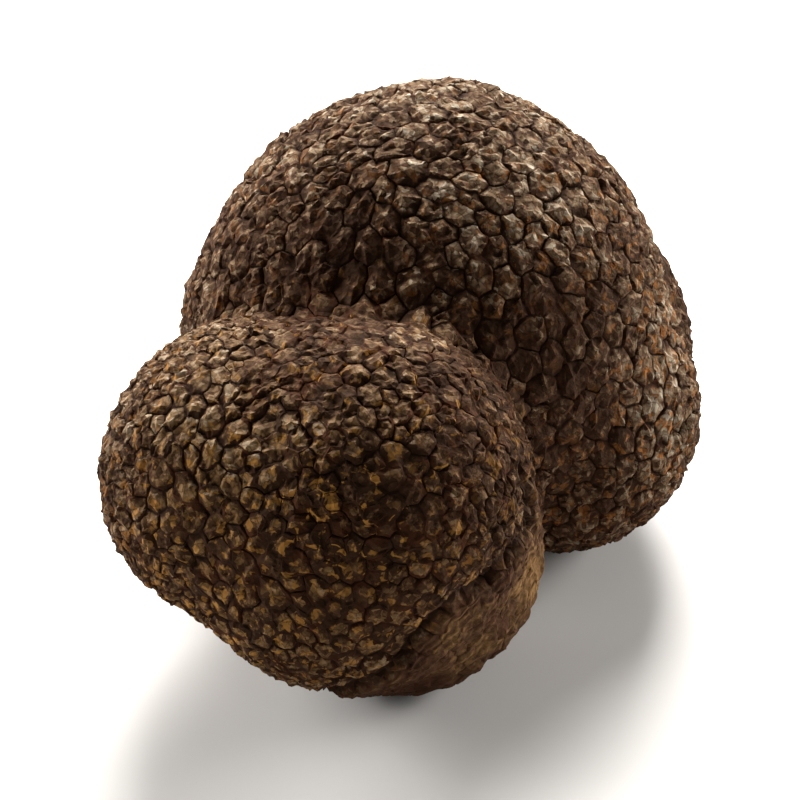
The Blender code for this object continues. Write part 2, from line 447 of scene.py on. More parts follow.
rim_places = corner_places[rim_ends].mean(axis=1)
rim_seen = as_seen(rim_places)
rim_chance = chances(rim_places, 3)[:, 0]
lesser = LESSER_GROOVE[0] + rim_chance * (LESSER_GROOVE[1] - LESSER_GROOVE[0])
fill = np.where(same_plate, lesser, MAIN_GROOVE * (0.5 + rim_chance))
fill = fill * (1.0 - ROLL_GROOVES * on_roll(rim_seen))
for line in LONG_CRACKS:
    near = np.exp(-(gap_to_line(rim_seen[:, [0, 2]], line)[0] / LONG_CRACK_WIDTH) ** 2)
    near *= rim_seen[:, 1] < LONG_CRACK_BACK
    fill = fill * (1.0 - near) - LONG_CRACK_DEPTH * near
print("groove fill", np.round(np.percentile(fill / MM, (5, 50, 95)), 2), "mm")

# %% Where grooves meet, the deeper ones win
DEEPEST_SHARE = 0.6        # the rest is the mean of the grooves that meet

corner_count = len(corner_places)
deepest = np.full(corner_count, np.inf)
np.minimum.at(deepest, rim_ends[:, 0], fill)
np.minimum.at(deepest, rim_ends[:, 1], fill)
total = np.bincount(rim_ends.ravel(), np.repeat(fill, 2), corner_count)
met = np.maximum(np.bincount(rim_ends.ravel(), minlength=corner_count), 1)
corner_fill = DEEPEST_SHARE * deepest + (1.0 - DEEPEST_SHARE) * total / met
corner_fill[~np.isfinite(deepest)] = 0.0
print("corner fill", np.round(np.percentile(corner_fill / MM, (5, 50, 95)), 2), "mm")

# %% [markdown]
# ## The shapes of the warts
# No two warts are alike: some rise to a peak with sharp ridges, some are flat plates, some have a
# hollow in the middle and some are round knobs. A few warts could be modelled and copied all over,
# but they wouldn't fit the openings of the net. So each kind is a short profile, from the groove to
# the middle, of how far in a row of corners lies and how high it stands, and that fits any outline.
# On the crown most warts rise to a peak, and on the front lobe most are worn down to plates and
# knobs.

# %% Kinds of wart
KINDS = {                  # how far in each row is, and how high, as shares of the wart's own
    "peak": ((0.0, 0.10, 0.36, 0.66, 1.0), (0.0, 0.48, 0.72, 0.98, 1.36)),
    "plate": ((0.0, 0.09, 0.32, 0.64, 1.0), (0.0, 0.74, 0.90, 0.94, 0.90)),
    "hollow": ((0.0, 0.10, 0.34, 0.62, 1.0), (0.0, 0.70, 0.98, 0.80, 0.58)),
    "knob": ((0.0, 0.15, 0.40, 0.68, 1.0), (0.0, 0.50, 0.88, 0.98, 1.00)),
}
ON_CROWN = {"peak": 0.58, "plate": 0.22, "hollow": 0.10, "knob": 0.10}
ON_FRONT = {"peak": 0.20, "plate": 0.36, "hollow": 0.10, "knob": 0.34}

wart_chance = chances(feet, 1)
more_chance = chances(feet, 2)
kinds = list(KINDS)
limits = np.outer(1.0 - on_front, np.cumsum([ON_CROWN[kind] for kind in kinds]))
limits += np.outer(on_front, np.cumsum([ON_FRONT[kind] for kind in kinds]))
wart_kind = np.minimum((wart_chance[:, :1] > limits).sum(axis=1), len(kinds) - 1)
inward = np.array([KINDS[kind][0] for kind in kinds])[wart_kind]
upward = np.array([KINDS[kind][1] for kind in kinds])[wart_kind]
print("kinds:", dict(zip(kinds, np.bincount(wart_kind, minlength=len(kinds)).tolist())))

# %% [markdown]
# ## Cracked and crested warts
# A spoke is the line from a wart's middle to a corner of its rim. A cracked wart has two spokes,
# about opposite each other, that are cut down, and a crested one has two that are raised. A thin
# cutter could make the cracks, but the spokes are already edges of the cut facets, so moving their
# corners is enough. To find the two, each wart gets a direction of its own by chance, and the
# spokes that point most along it and most against it are taken.

# %% Spokes
SPLIT_SHARE = 0.30         # how many warts are cracked, of those of the usual half width
USUAL_HALF_WIDTH = 1.3 * MM
SPLIT_LIMITS = (0.5, 1.4)  # small warts crack less often and large ones more, within these
CREST_SHARE = 0.35         # how many are crested
TOWARDS_RIM = 0.6          # where on a spoke its chance is read

east = unit(np.cross(ups, unit(chances(feet, 4) - 0.5)))
north = np.cross(ups, east)
spoke_ends = np.stack([np.repeat(wart_of_facet, 2), facets[carved, 1:].ravel()], axis=1)
spokes, spoke_of = np.unique(spoke_ends, axis=0, return_inverse=True)
spoke_of = spoke_of.reshape(-1, 2)
spoke_wart, spoke_rim = spokes.T
along_east = (unit(corner_places[spoke_rim] - feet[spoke_wart]) * east[spoke_wart]).sum(axis=1)
most = np.full(wart_count, -np.inf)
least = np.full(wart_count, np.inf)
np.maximum.at(most, spoke_wart, along_east)
np.minimum.at(least, spoke_wart, along_east)
at_end = (along_east == most[spoke_wart]) | (along_east == least[spoke_wart])
split = wart_chance[:, 1] < SPLIT_SHARE * np.clip(half_widths / USUAL_HALF_WIDTH, *SPLIT_LIMITS)
crested = ~split & (wart_chance[:, 1] > 1.0 - CREST_SHARE)
cracked_spoke = at_end & split[spoke_wart]
raised_spoke = at_end & crested[spoke_wart]
spoke_places = corner_places[spoke_rim] * TOWARDS_RIM + feet[spoke_wart] * (1.0 - TOWARDS_RIM)
spoke_chance = chances(spoke_places, 5)[:, 0]
print("spokes:", len(spokes), "cracked warts:", int(split.sum()), "crested:", int(crested.sum()))

# %% [markdown]
# ## Carving
# Every corner of the skin starts at the place on the rim under it, with its groove filled or cut
# deeper there. From there it goes inward by its wart's profile and up by it too, and the height is
# then changed step by step: a tilt, a bend of each flank, furrows, ridges, cracks and crests. Each
# step is one short sum over all the corners at once. The same could be sculpted by hand, but not on
# nearly two thousand warts.

# %% Start on the rim
plain = ~carved[facet_of]
facet_row = np.full(len(facets), -1)
facet_row[carved] = np.arange(carved.sum())
row = facet_row[facet_of]      # -1 for a plain corner: it borrows the last wart's numbers, unused
wart = wart_of_facet[row]
up_share = share_of[:, 0]
at_middle = up_share == ROWS
in_groove = up_share == 0
on_flank = ~in_groove & ~at_middle
rim_share = share_of[:, 1:] / np.maximum(ROWS - up_share, 1)[:, None]
rim_share[at_middle] = 0.5
rim_corners = facets[facet_of, 1:]
corner_ups = corner_ways(unit(facet_normals(corner_places, facets)), facets, corner_count)
rim_ups = unit((corner_ups[rim_corners] * rim_share[:, :, None]).sum(axis=1))
end_fill = (corner_fill[rim_corners] * rim_share).sum(axis=1)
between_ends = 4.0 * rim_share[:, 0] * rim_share[:, 1]         # 1 midway between two rim corners
groove_fill = end_fill + (fill[rim_of_facet[row]] - end_fill) * between_ends
groove_fill[at_middle] = 0.0
at_rim = (corner_places[rim_corners] * rim_share[:, :, None]).sum(axis=1)
at_rim = at_rim + rim_ups * groove_fill[:, None]
print("corners in grooves:", int(in_groove.sum()), "on flanks:", int(on_flank.sum()))

# %% Inward and up by the profile, tilted to one side
MIDDLE_SHIFT = 0.26        # how far a wart's middle may be off its foot, in half widths
TILT = 0.24                # how far one side may be raised, as a share of the wart's height

middle_way = east * centred(wart_chance[:, 2:]) + north * centred(more_chance[:, :1])
middle = feet + middle_way * (MIDDLE_SHIFT * half_widths)[:, None]
inward_here = inward[wart, up_share]
upward_here = upward[wart, up_share]
northward = ((at_rim - feet[wart]) * north[wart]).sum(axis=1) / half_widths[wart]
lean = TILT * centred(more_chance[wart, 1]) * northward * (1.0 - inward_here)
upward_here = upward_here + np.where(in_groove, 0.0, lean)
print("tilts: up to", round(float(np.abs(lean[on_flank & ~plain]).max()), 2), "of a wart's height")

# %% Bent flanks and furrows
FLANK_BEND = 0.30
BEND_REACH = 1.3           # the bend at the groove; it is less by 1 at the middle
FURROW = 0.60              # how deep the deepest furrow is, down the middle of a flank
FURROW_FADE = 0.6          # how much of it is gone at the middle

spokes_here = spoke_of[row]
flank_chance = (spoke_chance[spokes_here] * rim_share).sum(axis=1)
bent = FLANK_BEND * (flank_chance - 0.5) * (BEND_REACH - inward_here)
facet_chance = chances(corner_places[facets].mean(axis=1), 7)[facet_of, 0]
furrow = FURROW * between_ends * facet_chance ** 2 * (1.0 - FURROW_FADE * inward_here)
upward_here = upward_here + np.where(on_flank, bent - furrow, 0.0)
print("furrows: up to", round(float(furrow[on_flank].max()), 2), "of a wart's height")

# %% Ridges, cracks and crests on the spokes
RIDGE = 0.30
RIDGE_RANGE = (-0.5, 1.1)  # by chance a spoke is a little valley or a ridge
RIDGE_FADE = 0.5
CRACK_DEPTH = 0.58         # how much of the height a crack takes away
CREST = 0.30
CREST_AT_MIDDLE = 0.6
CREST_SHOULDER = 0.3       # how much the rest of a crested wart is lowered

on_first = (share_of[:, 2] == 0) & on_flank
on_second = (share_of[:, 1] == 0) & on_flank
on_spoke = on_first | on_second
spoke = np.where(on_first, spokes_here[:, 0], spokes_here[:, 1])
ridge = RIDGE_RANGE[0] + (RIDGE_RANGE[1] - RIDGE_RANGE[0]) * spoke_chance[spoke]
upward_here = upward_here + np.where(on_spoke, RIDGE * ridge, 0.0) * (1.0 - RIDGE_FADE * inward_here)
in_crack = (on_spoke & cracked_spoke[spoke]) | (at_middle & split[wart])
upward_here = upward_here * np.where(in_crack, 1.0 - CRACK_DEPTH, 1.0)
crest = np.where(on_spoke & raised_spoke[spoke], 1.0, 0.0)
crest[at_middle & crested[wart]] = CREST_AT_MIDDLE
upward_here = upward_here + CREST * (crest - CREST_SHOULDER * (crested[wart] & ~in_groove))
print("corners in cracks:", int(in_crack.sum()), "on crests:", int((crest > 0.0).sum()))

# %% How much height is kept
CROWN_RELIEF = 0.58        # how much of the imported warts' height is kept
FRONT_RELIEF = 0.38
ROLL_RELIEF = 0.26
EVENNESS = 0.9             # how far each height is drawn to the middle one
LIFT = 0.55                # how much of what is taken off the warts goes under the whole skin
LEVEL_TOP = 0.95           # from here up the tops are rounded off, over the next
ROUND_OFF = 0.42
FILL_UNDER_WART = 0.5      # how much of the groove's fill is taken off the wart beside it

over = np.maximum(upward_here - LEVEL_TOP, 0.0)
upward_here = np.minimum(upward_here, LEVEL_TOP) + ROUND_OFF * np.tanh(over / ROUND_OFF)
even_heights = heights + EVENNESS * (np.median(heights) - heights)
kept = CROWN_RELIEF + (FRONT_RELIEF - CROWN_RELIEF) * on_front
skin_lift = LIFT * np.median((even_heights * (1.0 - kept))[wart])
kept = kept[wart] + (ROLL_RELIEF - kept[wart]) * on_roll(as_seen(at_rim))
full_height = even_heights[wart] * kept
taken_off = np.where(in_groove, 0.0, FILL_UNDER_WART * groove_fill)
print("height kept", np.round(np.percentile(full_height / MM, (5, 50, 95)), 2), "mm, lift",
      round(float(skin_lift) / MM, 2), "mm")

# %% Put the corners in their places
places = at_rim + (middle[wart] - at_rim) * inward_here[:, None]
places += ups[wart] * (full_height * upward_here - taken_off)[:, None]
places += rim_ups * skin_lift
straight = (corner_places[facets[facet_of]] * share_of[:, :, None]).sum(axis=1) / ROWS
places[plain] = straight[plain]
print("carved:", int((~plain).sum()), "corners, plain:", int(plain.sum()))

# %% [markdown]
# ## Wobble and chips
# The grooves of the net are straight lines from corner to corner, and real ones wander, so a slow
# noise bends the whole skin a little. The tops look chipped: each chip is a small flat face that
# tilts its own way, so a place is raised by how far along its chip's tilt it lies. A Displace
# modifier could add noise, but not flat faces with sharp bends between them.

# %% Wobble
WOBBLES = ((1.9 * MM, 0.15 * MM), (0.9 * MM, 0.09 * MM))       # size, how far at the most

wobble = np.zeros_like(places)
for size, far in WOBBLES:
    for axis in range(3):
        wobble[:, axis] += noise_at(places, size, 1 + axis) * far / NOISE_REACH
print("wobble up to", round(float(np.abs(wobble).max()) / MM, 2), "mm")

# %% Chips
CHIPS = ((1.45 * MM, 0.22), (0.85 * MM, 0.45))                 # size, slope
CHIP_FADE = 0.45           # how strong the chips are in the grooves
TILT_SPREAD = 53.0         # sets the tilts of neighbouring chips apart


def chip_heights(points, size):
    """How far each place is along the tilt of the chip that it belongs to, in metres."""
    found = []
    for point in points / size:
        chip_middle = noise.voronoi(point)[1][0]
        tilt = noise.cell_vector(chip_middle * TILT_SPREAD) - Vector((0.5, 0.5, 0.5))
        found.append(tilt.dot(Vector(point) - chip_middle))
    return np.array(found) * size


chipped = sum(chip_heights(places, size) * slope for size, slope in CHIPS)
chipped = chipped * np.where(in_groove, CHIP_FADE, 1.0)
print("chips up to", round(float(np.abs(chipped).max()) / MM, 2), "mm")

# %% [markdown]
# ## Carving the fold
# The fold itself is a narrow groove, and the wrinkles beside it are waves of the distance from it,
# so they run along it. They die out away from the fold. The roll is swollen, so that it stands out
# below the fold as it does in the photograph.

# %% The fold, its wrinkles and the roll
FOLD_DEPTH = 0.6 * MM
FOLD_WIDTH = 0.42          # mm
WRINKLE_DEPTH = 0.16 * MM
WRINKLE_APART = 1.5        # mm
WRINKLE_REACH = 2.6        # mm
WRINKLE_BEND = (2.4 * MM, 1.6)         # size of the noise that bends them, how many wrinkles far
WAVE_MIDDLE = 0.6          # about the mean of a wave that is folded up at 0
ROLL_SWELL = 0.70 * MM
ROLL_SMOOTH = 0.6          # how much of the chips is gone on the roll
FOLD_BACK = (0.0, 7.0)     # mm as seen: there is no fold further away than this

seen = as_seen(places)
fold_gap = across_fold(seen)
roll = on_roll(seen)
near_side = 1.0 - soft_step(seen[:, 1], *FOLD_BACK)
fold = -FOLD_DEPTH * np.exp(-(fold_gap / FOLD_WIDTH) ** 2) * near_side
bend_size, bend_far = WRINKLE_BEND
wave = np.abs(np.sin(math.pi * (fold_gap / WRINKLE_APART + noise_at(places, bend_size, 6) * bend_far)))
wrinkle = WRINKLE_DEPTH * (wave - WAVE_MIDDLE) * near_side * np.exp(-(fold_gap / WRINKLE_REACH) ** 2)
raised = chipped * (1.0 - ROLL_SMOOTH * roll) + fold + wrinkle + ROLL_SWELL * roll
outward = unit(rim_ups + ups[wart])
places = places + np.where(plain[:, None], 0.0, wobble + outward * raised[:, None])
places[:, 2] = np.maximum(places[:, 2], 0.0)
print("fold:", int((fold < -FOLD_DEPTH / 2.0).sum()), "corners in it")

# %% [markdown]
# ## What the colours need to know
# On a real truffle the grooves stay dark with soil and the tops are rubbed pale, so the colours
# follow the shape. Ambient occlusion could tell hollows from tops while rendering, but here the
# colours are worked out from the mesh itself. So each corner is compared with the skin smoothed out
# round it: what lies below that is sunk.

# %% Sunkenness
SMOOTHINGS = 14


def neighbours_mean(values, edges, count):
    total = np.zeros((count, values.shape[1]))
    for start, end in ((0, 1), (1, 0)):
        total += summed(values[edges[:, start]], edges[:, end], count)
    return total / np.bincount(edges.ravel(), minlength=count)[:, None]


def below_smoothed(points, triangles, rounds):
    """How far each corner lies below the smoothed skin, in metres."""
    edges = np.unique(np.sort(triangles[:, [0, 1, 1, 2, 2, 0]].reshape(-1, 2), axis=1), axis=0)
    smooth = points
    for _ in range(rounds):
        smooth = neighbours_mean(smooth, edges, len(points))
    outwards = corner_ways(facet_normals(points, triangles), triangles, len(points))
    return ((smooth - points) * outwards).sum(axis=1)


sunk = below_smoothed(places, skin_triangles, SMOOTHINGS)
print("sunk", np.round(np.percentile(sunk, (1, 25, 50, 75, 99)) / MM, 2), "mm")

# %% [markdown]
# ## Patches of darker and paler skin, and of painted light and shade
# The skin isn't equally dark all over, and light and shade are painted on it as well: the crown's
# top and the outer edges are painted pale, as painted light, the crown's face and the creases are
# painted dark, as painted shade, and the middle of the front lobe is darker skin. That could be
# painted on the mesh by hand, but a few soft ellipses are quick to move. Each has its place in the
# picture, its half width and height, and how pale or dark it is. The side that the photograph
# doesn't show is a guess: it is as dark as the creases.

# %% Patches and painted light and shade
# painted light and shade: the pale ellipses on the top and the outer edges are painted light, the dark
# ones on the crown's face and along the creases are painted shade
PATCHES_AND_PAINTED_LIGHT = (                # (across, up) in mm as seen, half width, half height, how pale or dark
    (12.0, 21.0, 10.0, 6.0, 0.7),
    (-14.0, 15.0, 10.0, 8.0, -0.65),
    (-4.0, 15.0, 9.0, 7.0, -0.6),
    (13.0, 6.0, 7.0, 8.0, -0.6),
    (7.0, -1.0, 6.0, 6.0, -0.9),
    (-3.0, -9.5, 9.0, 6.0, -0.8),
    (-9.0, -16.0, 14.0, 6.0, -0.4),
    (-8.0, 4.0, 13.0, 5.5, -0.8),
    (9.5, -9.0, 4.5, 8.0, -0.7),
    (17.5, 1.0, 6.0, 10.0, -0.7),
    (-20.5, 5.5, 9.0, 5.0, 0.6),
    (14.0, -19.0, 3.5, 9.0, 1.0),
    (7.0, -25.0, 4.0, 5.0, 0.5),
    (29.5, 2.0, 4.0, 14.0, 1.0),
    (8.0, 35.0, 18.0, 7.0, 0.4),
    (-19.0, 27.0, 6.0, 6.0, 0.4),
)
PATCH_EDGE = (0.4, 1.5)    # where an ellipse starts to fade and where it is gone, in half widths
BEHIND = (8.0, 17.0)       # mm away from the viewer: the patches fade out, and past it is the back
PATCH_BEHIND = -0.9
BACK = (18.0, 27.0)        # mm away from the viewer: the skin turns darker still


def patches_and_painted_light(seen):
    """From -1 on the darkest patches, partly painted shade, to 1 on the palest, partly painted light.
    """
    total = np.zeros(len(seen))
    for across, up, half_width, half_height, strength in PATCHES_AND_PAINTED_LIGHT:
        gap = np.hypot((seen[:, 0] - across) / half_width, (seen[:, 2] - up) / half_height)
        total += strength * (1.0 - soft_step(gap, *PATCH_EDGE))
    behind = soft_step(seen[:, 1], *BEHIND)
    return np.clip(total, -1.0, 1.0) * (1.0 - behind) + PATCH_BEHIND * behind


patch_and_light_here = patches_and_painted_light(seen)
print("patches:", np.round(np.percentile(patch_and_light_here, (5, 50, 95)), 2))

# %% [markdown]
# ## The skin as a mesh
# The mesh is made from its corners and triangles. Bends sharper than a few degrees are kept sharp,
# so that ridges and groove walls catch the light, and the rest is shaded smooth. What the colours
# need to know goes with the mesh as named attributes: where a corner is on its wart, how far it is
# sunk, how far it is on the front lobe, on the roll, across the fold, on a patch of darker or paler
# skin and of painted light and shade, and at the back.

# %% Make the mesh
SHARP_BEND = math.radians(9.0)

skin_mesh = bpy.data.meshes.new("truffle_skin")
skin_mesh.from_pydata(places.tolist(), [], skin_triangles.tolist())
skin_mesh.shade_smooth()
skin_mesh.set_sharp_from_angle(angle=SHARP_BEND)
skin = bpy.data.objects.new("truffle_skin", skin_mesh)
bpy.context.scene.collection.objects.link(skin)
print("skin mesh:", len(skin_mesh.vertices), "corners,", len(skin_mesh.polygons), "triangles")

# %% Attributes for the colours
PLAIN_HEIGHT = 0.3         # what a flat spot under the truffle gets in place of a height on a wart
FILLED_HEIGHT = 0.55       # and what a groove gets that is filled up to its warts' tops
TALLEST = 1.3


def keep_numbers(name, values, domain="POINT"):
    made = skin_mesh.attributes.new(name, "FLOAT", domain)
    made.data.foreach_set("value", np.asarray(values, dtype=np.float32))


on_wart = np.where(plain, PLAIN_HEIGHT, upward_here)
filled = np.clip(groove_fill / full_height, 0.0, 1.0)
on_wart = np.where(in_groove, filled * FILLED_HEIGHT, on_wart)
keep_numbers("height", np.clip(on_wart, 0.0, TALLEST))
keep_numbers("inward", np.where(plain, 1.0, inward_here))
keep_numbers("sunk", sunk / MM)
keep_numbers("front", on_front[wart])
keep_numbers("roll", roll)
keep_numbers("across the fold", fold_gap)
keep_numbers("patch_and_painted_light", patch_and_light_here)
keep_numbers("back", soft_step(seen[:, 1], *BACK))
wart_of_triangle = np.where(carved[triangle_facet], wart_of_facet[facet_row[triangle_facet]], 0)
keep_numbers("wart chance", more_chance[wart_of_triangle, 2], "FACE")
from_middle = places[skin_triangles] - middle[wart_of_triangle][:, None]
ways = skin_mesh.attributes.new("from the middle", "FLOAT_VECTOR", "CORNER")
ways.data.foreach_set("vector", (from_middle / MM).ravel().astype(np.float32))
print("attributes:", ", ".join(name for name in skin_mesh.attributes.keys() if name[0] != "."))

# %% [markdown]
# ## Nodes for the skin
# The skin's material is a tree of nodes. Each helper here adds one or a few nodes and gives back
# the socket to link on from, so that the cells after it read like short recipes: what is added to
# what, and how much of it.

# %% A helper that adds a node
skin_paint = bpy.data.materials.new("truffle skin")
skin_paint.use_nodes = True
tree = skin_paint.node_tree
shader = tree.nodes["Principled BSDF"]


def add(kind, settings=(), inputs=()):
    """A node with its settings and the values or links of its inputs."""
    node = tree.nodes.new("ShaderNode" + kind)
    for name, value in dict(settings).items():
        setattr(node, name, value)
    for name, value in dict(inputs).items():
        if isinstance(value, bpy.types.NodeSocket):
            tree.links.new(value, node.inputs[name])
        else:
            node.inputs[name].default_value = value
    return node


def attribute(name, output="Fac"):
    return add("Attribute", {"attribute_name": name}).outputs[output]


print("nodes at the start:", [node.name for node in tree.nodes])

# %% Helpers for sums and shares
def maths(operation, first, second=0.0, third=0.0, clamp=False):
    settings = {"operation": operation, "use_clamp": clamp}
    return add("Math", settings, {0: first, 1: second, 2: third}).outputs[0]


def times(first, *others):
    for other in others:
        first = maths("MULTIPLY", first, other)
    return first


def plus(start, *parts):
    """Start and each part after it, which is a socket and how much of it is added."""
    for socket, much in parts:
        start = maths("MULTIPLY_ADD", socket, much, start)
    return start


def left_over(share):
    return maths("SUBTRACT", 1.0, share)


def balanced(value):
    """From -0.5 to 0.5 in place of from 0 to 1."""
    return maths("SUBTRACT", value, 0.5)


chance = attribute("wart chance")
chance_share = balanced(chance)
print("nodes so far:", len(tree.nodes))

# %% Helpers for patterns and colours
SPOT_ROUGHNESS = 0.6


def mottle(size_mm, detail=3.0, roughness=SPOT_ROUGHNESS, distortion=0.0):
    """Cloudy noise with spots of about this size, from 0 to 1."""
    inputs = {"Vector": where, "Scale": 1.0 / (size_mm * MM), "Detail": detail,
              "Roughness": roughness, "Distortion": distortion}
    return add("TexNoise", {}, inputs).outputs["Fac"]


def span(value, low, high):
    """0 at low, 1 at high and a smooth rise between them."""
    inputs = {"Value": value, "From Min": low, "From Max": high}
    return add("MapRange", {"interpolation_type": "SMOOTHSTEP"}, inputs).outputs["Result"]


def ramp(value, stops, colours):
    """From colour to colour as the value goes from stop to stop."""
    node = add("ValToRGB", {}, {"Fac": value})
    while len(node.color_ramp.elements) < len(stops):
        node.color_ramp.elements.new(0.5)
    for element, stop, colour in zip(node.color_ramp.elements, stops, colours):
        element.position = stop
        element.color = colour
    return node.outputs["Color"]


def blend(amount, under, over, how="MIX"):
    """The colour under, with this much of the colour over it."""
    settings = {"data_type": "RGBA", "blend_type": how}
    return add("Mix", settings, {0: amount, 6: under, 7: over}).outputs[2]


where = add("TexCoord").outputs["Object"]
print("nodes so far:", len(tree.nodes))

# %% [markdown]
# ## Fine relief
# Close up, a wart's top has fine ridges that run out from its middle, crags, a grain, and small
# flat chips with gaps between them. They are too fine for the mesh, so they are patterns in the
# material. The rays come from a ridged noise that is read by direction from the wart's middle, so
# each is one long streak, and a shift by the wart's own chance keeps two warts from being alike.
# The chips come from a cell pattern, read at warped places so that their edges aren't straight.

# %% Rays and crags
RAY_FINENESS = (2.6, 2.6, 2.6)         # more gives more and narrower rays
RAY_SHIFTS = (37.0, 91.0)
CRAG_MM = 0.75

shift = add("CombineXYZ", {}, {axis: maths("MULTIPLY", chance, far)
                               for axis, far in zip("XY", RAY_SHIFTS)}).outputs[0]
ray_way = add("VectorMath", {"operation": "NORMALIZE"}, {0: attribute("from the middle", "Vector")})
ray_place = add("VectorMath", {"operation": "MULTIPLY_ADD"},
                {0: ray_way.outputs[0], 1: RAY_FINENESS, 2: shift}).outputs[0]
rays = add("TexNoise", {"noise_type": "RIDGED_MULTIFRACTAL"},
           {"Vector": ray_place, "Scale": 1.0, "Detail": 2.0, "Roughness": 0.6,
            "Lacunarity": 2.3}).outputs["Fac"]
crags = add("TexNoise", {"noise_type": "RIDGED_MULTIFRACTAL"},
            {"Vector": where, "Scale": 1.0 / (CRAG_MM * MM), "Detail": 3.0, "Roughness": 0.55,
             "Lacunarity": 2.2, "Distortion": 0.3}).outputs["Fac"]
print("nodes so far:", len(tree.nodes))

# %% Chips in the material
WARP_SIZE_MM = 0.9
WARP_FAR_MM = 0.7
CHIP_MM = 0.68
BIG_CHIP_MM = 1.1
BIG_CHIP_TOP = 0.35        # past this far from its edge, in sizes, a big chip is flat
GRAIN_MM = 0.16

warp = add("TexNoise", {}, {"Vector": where, "Scale": 1.0 / (WARP_SIZE_MM * MM), "Detail": 1.0})
where_warped = add("VectorMath", {"operation": "MULTIPLY_ADD"},
                   {0: warp.outputs["Color"], 1: (WARP_FAR_MM * MM,) * 3, 2: where}).outputs[0]


def chip_cells(size_mm, feature="F1"):
    inputs = {"Vector": where_warped, "Scale": 1.0 / (size_mm * MM), "Randomness": 1.0}
    return add("TexVoronoi", {"feature": feature}, inputs).outputs


def vector_maths(operation, first, second):
    return add("VectorMath", {"operation": operation}, {0: first, 1: second}).outputs


chips = chip_cells(CHIP_MM)
offset = vector_maths("SUBTRACT", where_warped, chips["Position"])[0]
chip_tilt = vector_maths("SUBTRACT", chips["Color"], (0.5, 0.5, 0.5))[0]
chip_face = maths("DIVIDE", vector_maths("DOT_PRODUCT", offset, chip_tilt)["Value"], CHIP_MM * MM)
chip_tone = add("SeparateXYZ", {}, {0: chips["Color"]}).outputs["X"]
big_chip_gap = chip_cells(BIG_CHIP_MM, "DISTANCE_TO_EDGE")["Distance"]
relief = plus(0.0, (rays, 0.34), (crags, 0.26), (mottle(GRAIN_MM, 3.0, 0.7), 0.12),
              (maths("MINIMUM", big_chip_gap, BIG_CHIP_TOP), 0.50), (chip_face, 0.90))
print("nodes so far:", len(tree.nodes))

# %% [markdown]
# ## Fine wrinkles beside the fold
# Between the wrinkles that are carved in the mesh lie finer ones. They are waves of the distance
# from the fold again, bent by a cloudy noise, and they are gone a few millimetres away from it.

# %% Fine wrinkles
FINE_WRINKLE_MM = 0.64
BEND_MM = 2.6
BEND_FAR = 14.0            # how far the noise bends them, in radians of the wave
WRINKLES_FADE_MM = (1.4, 3.4)

front = attribute("front")
roll_share = attribute("roll")
across = attribute("across the fold")
wave_angle = plus(times(mottle(BEND_MM, 1.0, 0.4), BEND_FAR), (across, 2.0 * math.pi / FINE_WRINKLE_MM))
near_fold = times(left_over(span(maths("ABSOLUTE", across), *WRINKLES_FADE_MM)),
                  maths("MAXIMUM", front, roll_share))
streak = times(maths("SINE", wave_angle), near_fold)
print("nodes so far:", len(tree.nodes))

# %% [markdown]
# ## Wear and painted light on each spot
# One number says how pale a spot of sound skin is. It grows where the skin faces up, as painted
# light from above, on pale patches, which are partly painted light, and on what stands out, partly
# as wear and partly as a painted highlight on the ridges, and it falls where the skin is sunk. Fine
# relief, blotches of three sizes, each chip and each wart add their own share, because on the real
# skin no two spots are alike. A photograph of bark could give such a mixture too, but nothing here
# reads an image.

# %% Wear and painted light
BLOTCH_MM, MIDDLING_BLOTCH_MM, LARGE_BLOTCH_MM = 0.9, 2.0, 5.0
RELIEF_MIDDLE = 0.57       # about the mean of the fine relief
FRONT_CALM = 0.45          # how much of the fine unevenness is gone on the front lobe
MEAN_WEAR = 0.30

low_lying = attribute("sunk")
patch_and_painted_light = attribute("patch_and_painted_light")
facing = add("SeparateXYZ", {}, {0: add("NewGeometry").outputs["Normal"]}).outputs["Z"]
blotch = balanced(mottle(BLOTCH_MM, 2.0, 0.5, 0.6))
middling_blotch = balanced(mottle(MIDDLING_BLOTCH_MM, 2.0, 0.5, 0.5))
large_blotch = balanced(mottle(LARGE_BLOTCH_MM, 2.0))
calm = plus(1.0, (front, -FRONT_CALM))
# painted highlight: what stands out in the fine relief is painted paler, partly as wear and partly as a
# glint on the ridges
relief_wear_and_highlight = plus(maths("SUBTRACT", relief, RELIEF_MIDDLE), (streak, 0.35))
uneven = plus(0.0, (relief_wear_and_highlight, 0.50), (blotch, 0.40), (balanced(chip_tone), 0.50))
# painted light from above: skin that faces up is painted paler, and the pale patches add painted light
wear_and_painted_light = plus(MEAN_WEAR, (facing, 0.12), (patch_and_painted_light, 0.22), (low_lying, -0.35), (uneven, calm),
            (large_blotch, 0.40), (middling_blotch, 0.45), (chance_share, 0.20), (front, 0.08))
print("nodes so far:", len(tree.nodes))

# %% [markdown]
# ## The skin's colours
# Sound skin runs from near black through brown to tan, paler and greyer on the crown and more
# yellow on the front lobe; the grey of the crown's palest skin is partly a painted sheen. Where the
# skin faces up it is painted paler and greyer, as painted light from above, on the front lobe too.
# Dry earth has left spots on it, orange-brown on the crown and ochre on the front lobe, most of them
# on the pale patches and few where the skin faces straight up and is painted lit. The roll has a
# darker, redder skin.

# %% Sound skin and dust
DARK = (0.0340, 0.0162, 0.0082, 1.0)
RED_BROWN = (0.0585, 0.0248, 0.0131, 1.0)
CROWN_BROWN = (0.0689, 0.0358, 0.0193, 1.0)
CROWN_TAN = (0.184, 0.119, 0.068, 1.0)
